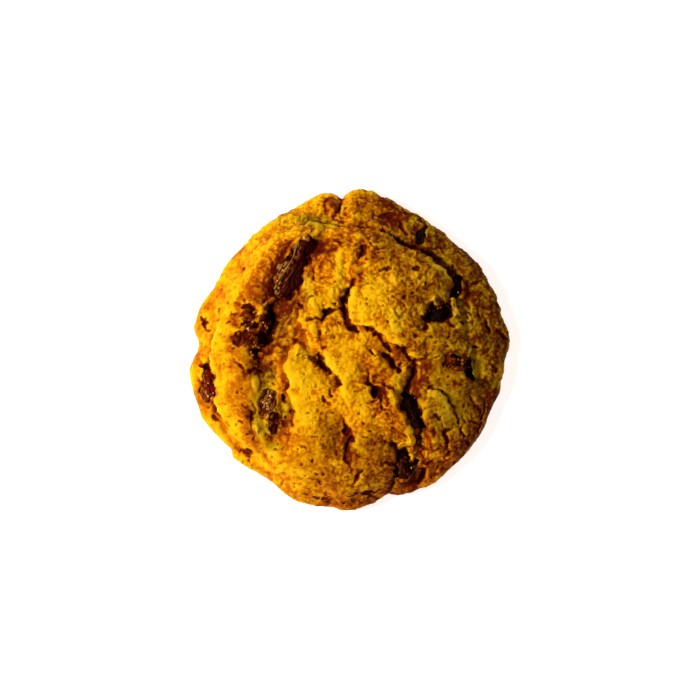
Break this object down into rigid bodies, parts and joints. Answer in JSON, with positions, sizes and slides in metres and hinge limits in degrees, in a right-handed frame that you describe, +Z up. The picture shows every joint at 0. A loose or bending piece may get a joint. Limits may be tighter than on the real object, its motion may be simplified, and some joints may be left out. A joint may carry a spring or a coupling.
{
  "type": "oatmeal raisin cookie",
  "caption": "Round baked cookie with a raised, cracked crust over a wider skirt, a flat underside, and wrinkled raisins set in torn pockets of the dough.",
  "frame": {"origin": "on the flat underside, below the middle of the cookie's bounding box", "axes": "+Z up from the underside through the crust; +X and +Y lie in the underside, with the three large raisins on the -X side"},
  "size_m": [0.0637, 0.064, 0.0143],
  "materials": {
    "dough": "baked crumb, matte",
    "raisin": "wrinkled dried skin, satin"
  },
  "bodies": {
    "root": {"dough": "dough", "raisin_north_west": "raisin", "raisin_west": "raisin", "raisin_south_west": "raisin", "raisin_west_rim": "raisin", "raisin_east": "raisin", "raisin_east_ledge": "raisin", "raisin_east_hole": "raisin", "raisin_gorge": "raisin", "raisin_south_east": "raisin", "raisin_north_east": "raisin"}
  },
  "joints": []
}
